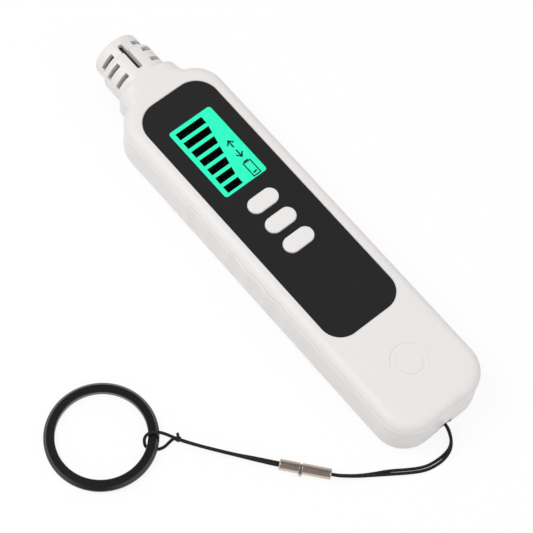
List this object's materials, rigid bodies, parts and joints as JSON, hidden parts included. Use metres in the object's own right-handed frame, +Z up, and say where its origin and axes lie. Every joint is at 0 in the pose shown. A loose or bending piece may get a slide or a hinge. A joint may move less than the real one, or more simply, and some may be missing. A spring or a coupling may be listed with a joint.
{
  "type": "combustible gas detector",
  "caption": "Slim white combustible gas detector with slotted sensor nose, lit bar display, push buttons, sliding battery door, and a wrist strap with pull-apart clasp and finger ring.",
  "frame": {"origin": "on the floor under the middle of the detector's body, the strap, clasp and ring left out", "axes": "+X across the body to its right, +Y along it to the sensor tip, +Z up through the display"},
  "size_m": [0.1185, 0.1694, 0.0205],
  "materials": {
    "white_shell": "fine satin white moulding",
    "white_button": "smooth satin white",
    "black_panel": "near-black satin film",
    "clear_window": "clear",
    "lit_display": "turquoise, lit from behind",
    "light_guide": "milky light guide",
    "frame_plastic": "white",
    "tinned_pins": "tinned",
    "switch_black": "black",
    "switch_plunger": "dark grey",
    "board_green": "green lacquer",
    "chip_black": "black",
    "sensor_steel": "drawn steel",
    "sensor_gauze": "sintered bronze",
    "sensor_foot": "brown moulding",
    "seal_rubber": "black",
    "soft_washer": "white",
    "gold_pins": "gold plate",
    "cell_jacket": "plain blue jacket",
    "contact_metal": "nickel plate",
    "screw_steel": "zinc plate",
    "clasp_metal": "satin nickel",
    "ring_black": "semi-gloss black",
    "strap_black": "braided black"
  },
  "bodies": {
    "housing": {"battery_left": "cell_jacket", "battery_right": "cell_jacket", "board_chips": "chip_black", "buzzer": "chip_black", "case_screws": "screw_steel", "circuit_board": "board_green", "clasp_socket": "clasp_metal", "clasp_washer": "soft_washer", "contact_link": "contact_metal", "contact_negative": "contact_metal", "contact_positive": "contact_metal", "display_backlight": "light_guide", "display_glass": "lit_display", "display_holder": "frame_plastic", "display_pins": "tinned_pins", "display_window": "clear_window", "face_panel": "black_panel", "front_shell": "white_shell", "light_switch": "switch_black", "power_switch": "switch_black", "range_switch": "switch_black", "rear_shell": "white_shell", "sensor_base": "sensor_foot", "sensor_board": "board_green", "sensor_cage": "white_shell", "sensor_can": "sensor_steel", "sensor_leads": "gold_pins", "sensor_mesh": "sensor_gauze", "sensor_pins": "gold_pins", "sensor_seal": "seal_rubber", "strap_body_side": "strap_black", "strap_pin": "sensor_steel"},
    "power_key": {"power_button": "white_button", "power_plunger": "switch_plunger"},
    "light_key": {"light_button": "white_button", "light_plunger": "switch_plunger"},
    "range_key": {"range_button": "white_button", "range_plunger": "switch_plunger"},
    "door": {"battery_door": "white_shell"},
    "ring_half": {"clasp_plug": "clasp_metal", "strap_ring_side": "strap_black", "strap_tie": "strap_black"},
    "ring": {"finger_ring": "ring_black"}
  },
  "joints": [
    {"name": "power_press", "type": "slide", "parent": "housing", "child": "power_key", "axis": [0, 0, -1], "range_m": [0, 0.0004], "stiffness_N_per_m": 4000, "springref_m": -0.0003},
    {"name": "light_press", "type": "slide", "parent": "housing", "child": "light_key", "axis": [0, 0, -1], "range_m": [0, 0.0004], "stiffness_N_per_m": 4000, "springref_m": -0.0003},
    {"name": "range_press", "type": "slide", "parent": "housing", "child": "range_key", "axis": [0, 0, -1], "range_m": [0, 0.0004], "stiffness_N_per_m": 4000, "springref_m": -0.0003},
    {"name": "door_slide", "type": "slide", "parent": "housing", "child": "door", "axis": [0, -1, 0], "range_m": [0, 0.005]},
    {"name": "clasp_pull", "type": "slide", "parent": "housing", "child": "ring_half", "axis": [-0.6367, 0.7711, 0], "range_m": [0, 0.005]},
    {"name": "ring_turn", "type": "hinge", "parent": "ring_half", "child": "ring", "pos_m": [-0.0827, -0.01777, 0.00065], "axis": [-0.0231, 0.0294, 0.9993], "continuous": true}
  ]
}
